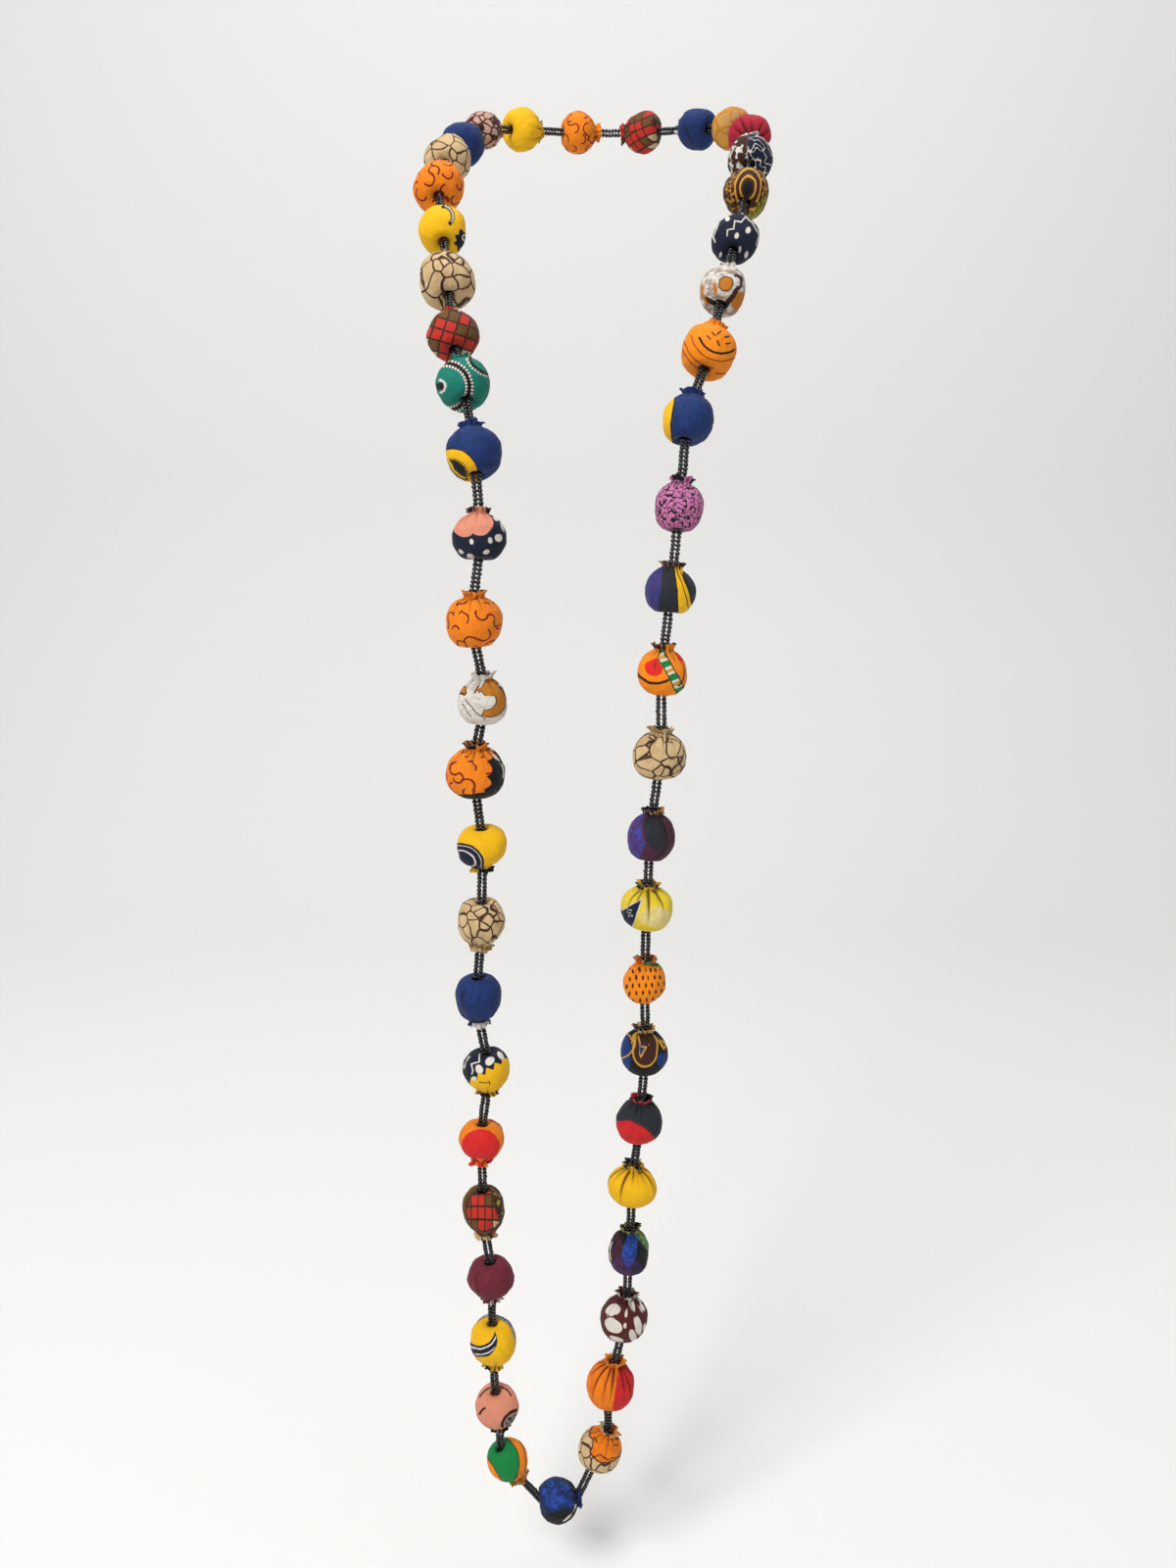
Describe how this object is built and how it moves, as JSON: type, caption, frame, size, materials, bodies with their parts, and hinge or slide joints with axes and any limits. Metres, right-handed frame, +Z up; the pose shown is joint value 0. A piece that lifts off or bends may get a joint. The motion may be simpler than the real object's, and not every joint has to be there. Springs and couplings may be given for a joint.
{
  "type": "beaded necklace",
  "caption": "Long closed necklace of gathered cloth-covered balls, spaced by pairs of short black seed-bead strings, in the form it takes when worn.",
  "frame": {"origin": "on the string at the nape of the wearer's neck, where the necklace hangs on its wearer", "axes": "+Z up, -Y towards the wearer's front, +X to the right of someone who looks at the wearer"},
  "size_m": [0.1758, 0.3023, 0.704],
  "materials": {
    "cloth_orange": "printed cotton, orange ground",
    "cloth_yellow": "printed cotton, yellow ground",
    "cloth_tan": "printed cotton, cream ground with dark brown cells",
    "cloth_red": "printed cotton, red, brown and tan squares",
    "cloth_teal": "printed cotton, teal ground",
    "cloth_blue": "printed cotton, royal blue ground",
    "cloth_navy": "printed cotton, navy ground with white figures",
    "cloth_peach": "printed cotton, peach ground",
    "cloth_white": "printed cotton, off-white ground with ochre",
    "cloth_burgundy": "plain dyed cotton, burgundy",
    "cloth_crimson": "plain dyed cotton, crimson",
    "cloth_green": "printed cotton, green and orange",
    "cloth_brown": "printed cotton, dark brown ground",
    "cloth_black": "printed cotton, near-black ground",
    "cloth_plum": "printed cotton, plum and blue ground",
    "cloth_pink": "printed cotton, pink ground",
    "cloth_gold": "printed cotton, gold and tan ground",
    "cloth_rose": "printed cotton, pinkish cream ground",
    "seed_black": "glossy black glass seed beads on black thread"
  },
  "bodies": {
    "root": {"bead_01_orange_curls": "cloth_orange", "bead_02_yellow_crest": "cloth_yellow", "bead_03_tan_cells": "cloth_tan", "bead_04_red_squares": "cloth_red", "bead_05_teal_bands": "cloth_teal", "bead_06_blue_crescent": "cloth_blue", "bead_07_peach_dots": "cloth_navy", "bead_08_orange_curls": "cloth_orange", "bead_09_white_ochre": "cloth_white", "bead_10_orange_black": "cloth_orange", "bead_11_yellow_band": "cloth_yellow", "bead_12_tan_cells": "cloth_tan", "bead_13_blue_plain": "cloth_blue", "bead_14_navy_zigzag": "cloth_navy", "bead_15_orange_disc": "cloth_orange", "bead_16_red_squares": "cloth_red", "bead_17_burgundy_plain": "cloth_burgundy", "bead_18_yellow_stripes": "cloth_yellow", "bead_19_peach_arcs": "cloth_peach", "bead_20_green_oval": "cloth_green", "bead_21_blue_blotch": "cloth_blue", "bead_22_tan_orange": "cloth_orange", "bead_23_orange_red": "cloth_orange", "bead_24_brown_petals": "cloth_brown", "bead_25_blue_streaks": "cloth_blue", "bead_26_yellow_plain": "cloth_yellow", "bead_27_black_red": "cloth_black", "bead_28_gold_ovals": "cloth_black", "bead_29_orange_dashes": "cloth_orange", "bead_30_yellow_dots": "cloth_yellow", "bead_31_plum_petal": "cloth_plum", "bead_32_tan_cells": "cloth_tan", "bead_33_orange_squares": "cloth_orange", "bead_34_slate_yellow": "cloth_black", "bead_35_pink_squiggles": "cloth_pink", "bead_36_blue_crescent": "cloth_blue", "bead_37_orange_arcs": "cloth_orange", "bead_38_white_ochre": "cloth_white", "bead_39_navy_steps": "cloth_navy", "bead_40_brown_gold": "cloth_brown", "seed_strand_a": "seed_black", "seed_strand_b": "seed_black", "nape_string": "cloth_tan"}
  },
  "joints": []
}
